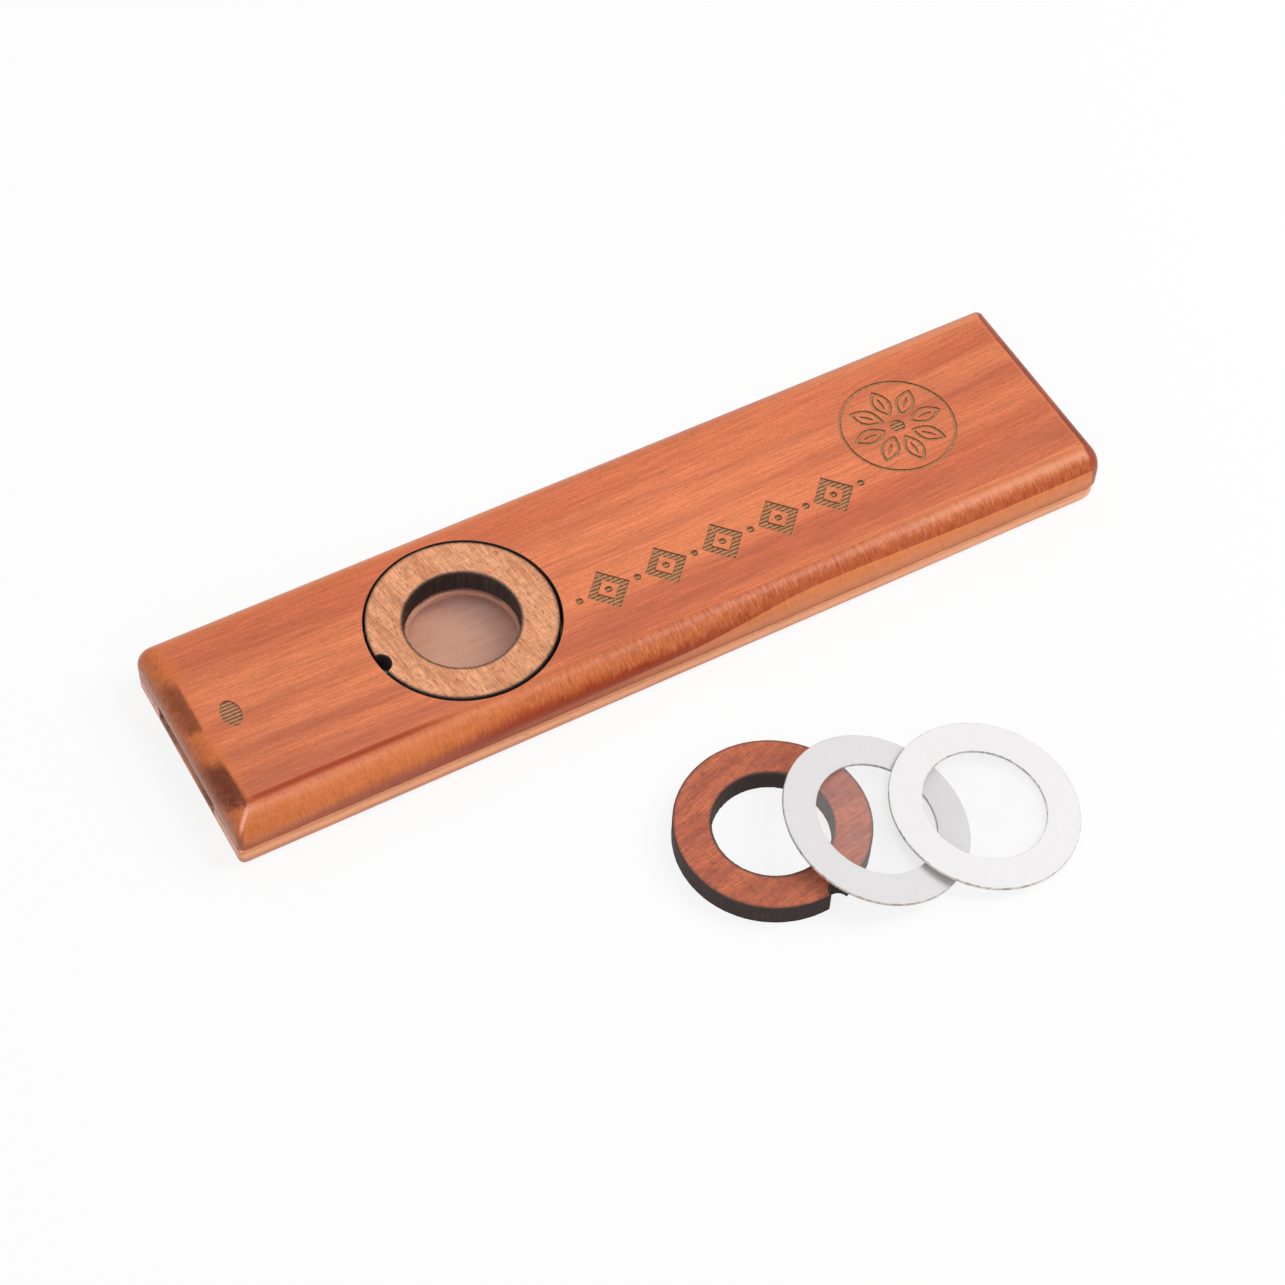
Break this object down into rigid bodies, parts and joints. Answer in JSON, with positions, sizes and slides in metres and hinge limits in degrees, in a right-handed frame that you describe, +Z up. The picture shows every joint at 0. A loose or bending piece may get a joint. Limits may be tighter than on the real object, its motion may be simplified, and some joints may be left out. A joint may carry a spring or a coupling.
{
  "type": "kazoo",
  "caption": "Flat rectangular wooden kazoo with a membrane under a flush retaining ring, shown with a spare ring and spare membranes lying beside it.",
  "frame": {"origin": "centre of the kazoo body's underside", "axes": "+X along the body from the mouth end to the far end, +Y across the body away from the spare parts, +Z up"},
  "size_m": [0.1234, 0.0782, 0.0077],
  "materials": {
    "shell_wood": "satin varnish",
    "base_wood": "satin varnish",
    "wood_glue": "cured glue",
    "ring_wood": "bare, laser cut, charred walls",
    "spare_ring_wood": "bare, laser cut, charred walls",
    "card": "white coated card",
    "film": "clear thin film with a slight haze"
  },
  "bodies": {
    "body": {"upper_shell": "shell_wood", "base_plate": "base_wood", "glue_line": "wood_glue"},
    "membrane": {"membrane_frame": "card", "membrane_film": "film"},
    "ring": {"retaining_ring": "ring_wood"},
    "spare_ring": {"spare_retaining_ring": "spare_ring_wood"},
    "spare_membrane_a": {"spare_frame_a": "card", "spare_film_a": "film"},
    "spare_membrane_b": {"spare_frame_b": "card", "spare_film_b": "film"}
  },
  "joints": [
    {"name": "membrane_lift", "type": "slide", "parent": "body", "child": "membrane", "axis": [0, 0, 1], "range_m": [0, 0.012]},
    {"name": "ring_lift", "type": "slide", "parent": "membrane", "child": "ring", "axis": [0, 0, 1], "range_m": [0, 0.015]},
    {"name": "spare_ring_lift", "type": "slide", "parent": "body", "child": "spare_ring", "axis": [0, 0, 1], "range_m": [0, 0.015]},
    {"name": "spare_a_lift", "type": "slide", "parent": "spare_ring", "child": "spare_membrane_a", "axis": [0, 0, 1], "range_m": [0, 0.015]},
    {"name": "spare_b_lift", "type": "slide", "parent": "spare_membrane_a", "child": "spare_membrane_b", "axis": [0, 0, 1], "range_m": [0, 0.015]}
  ]
}
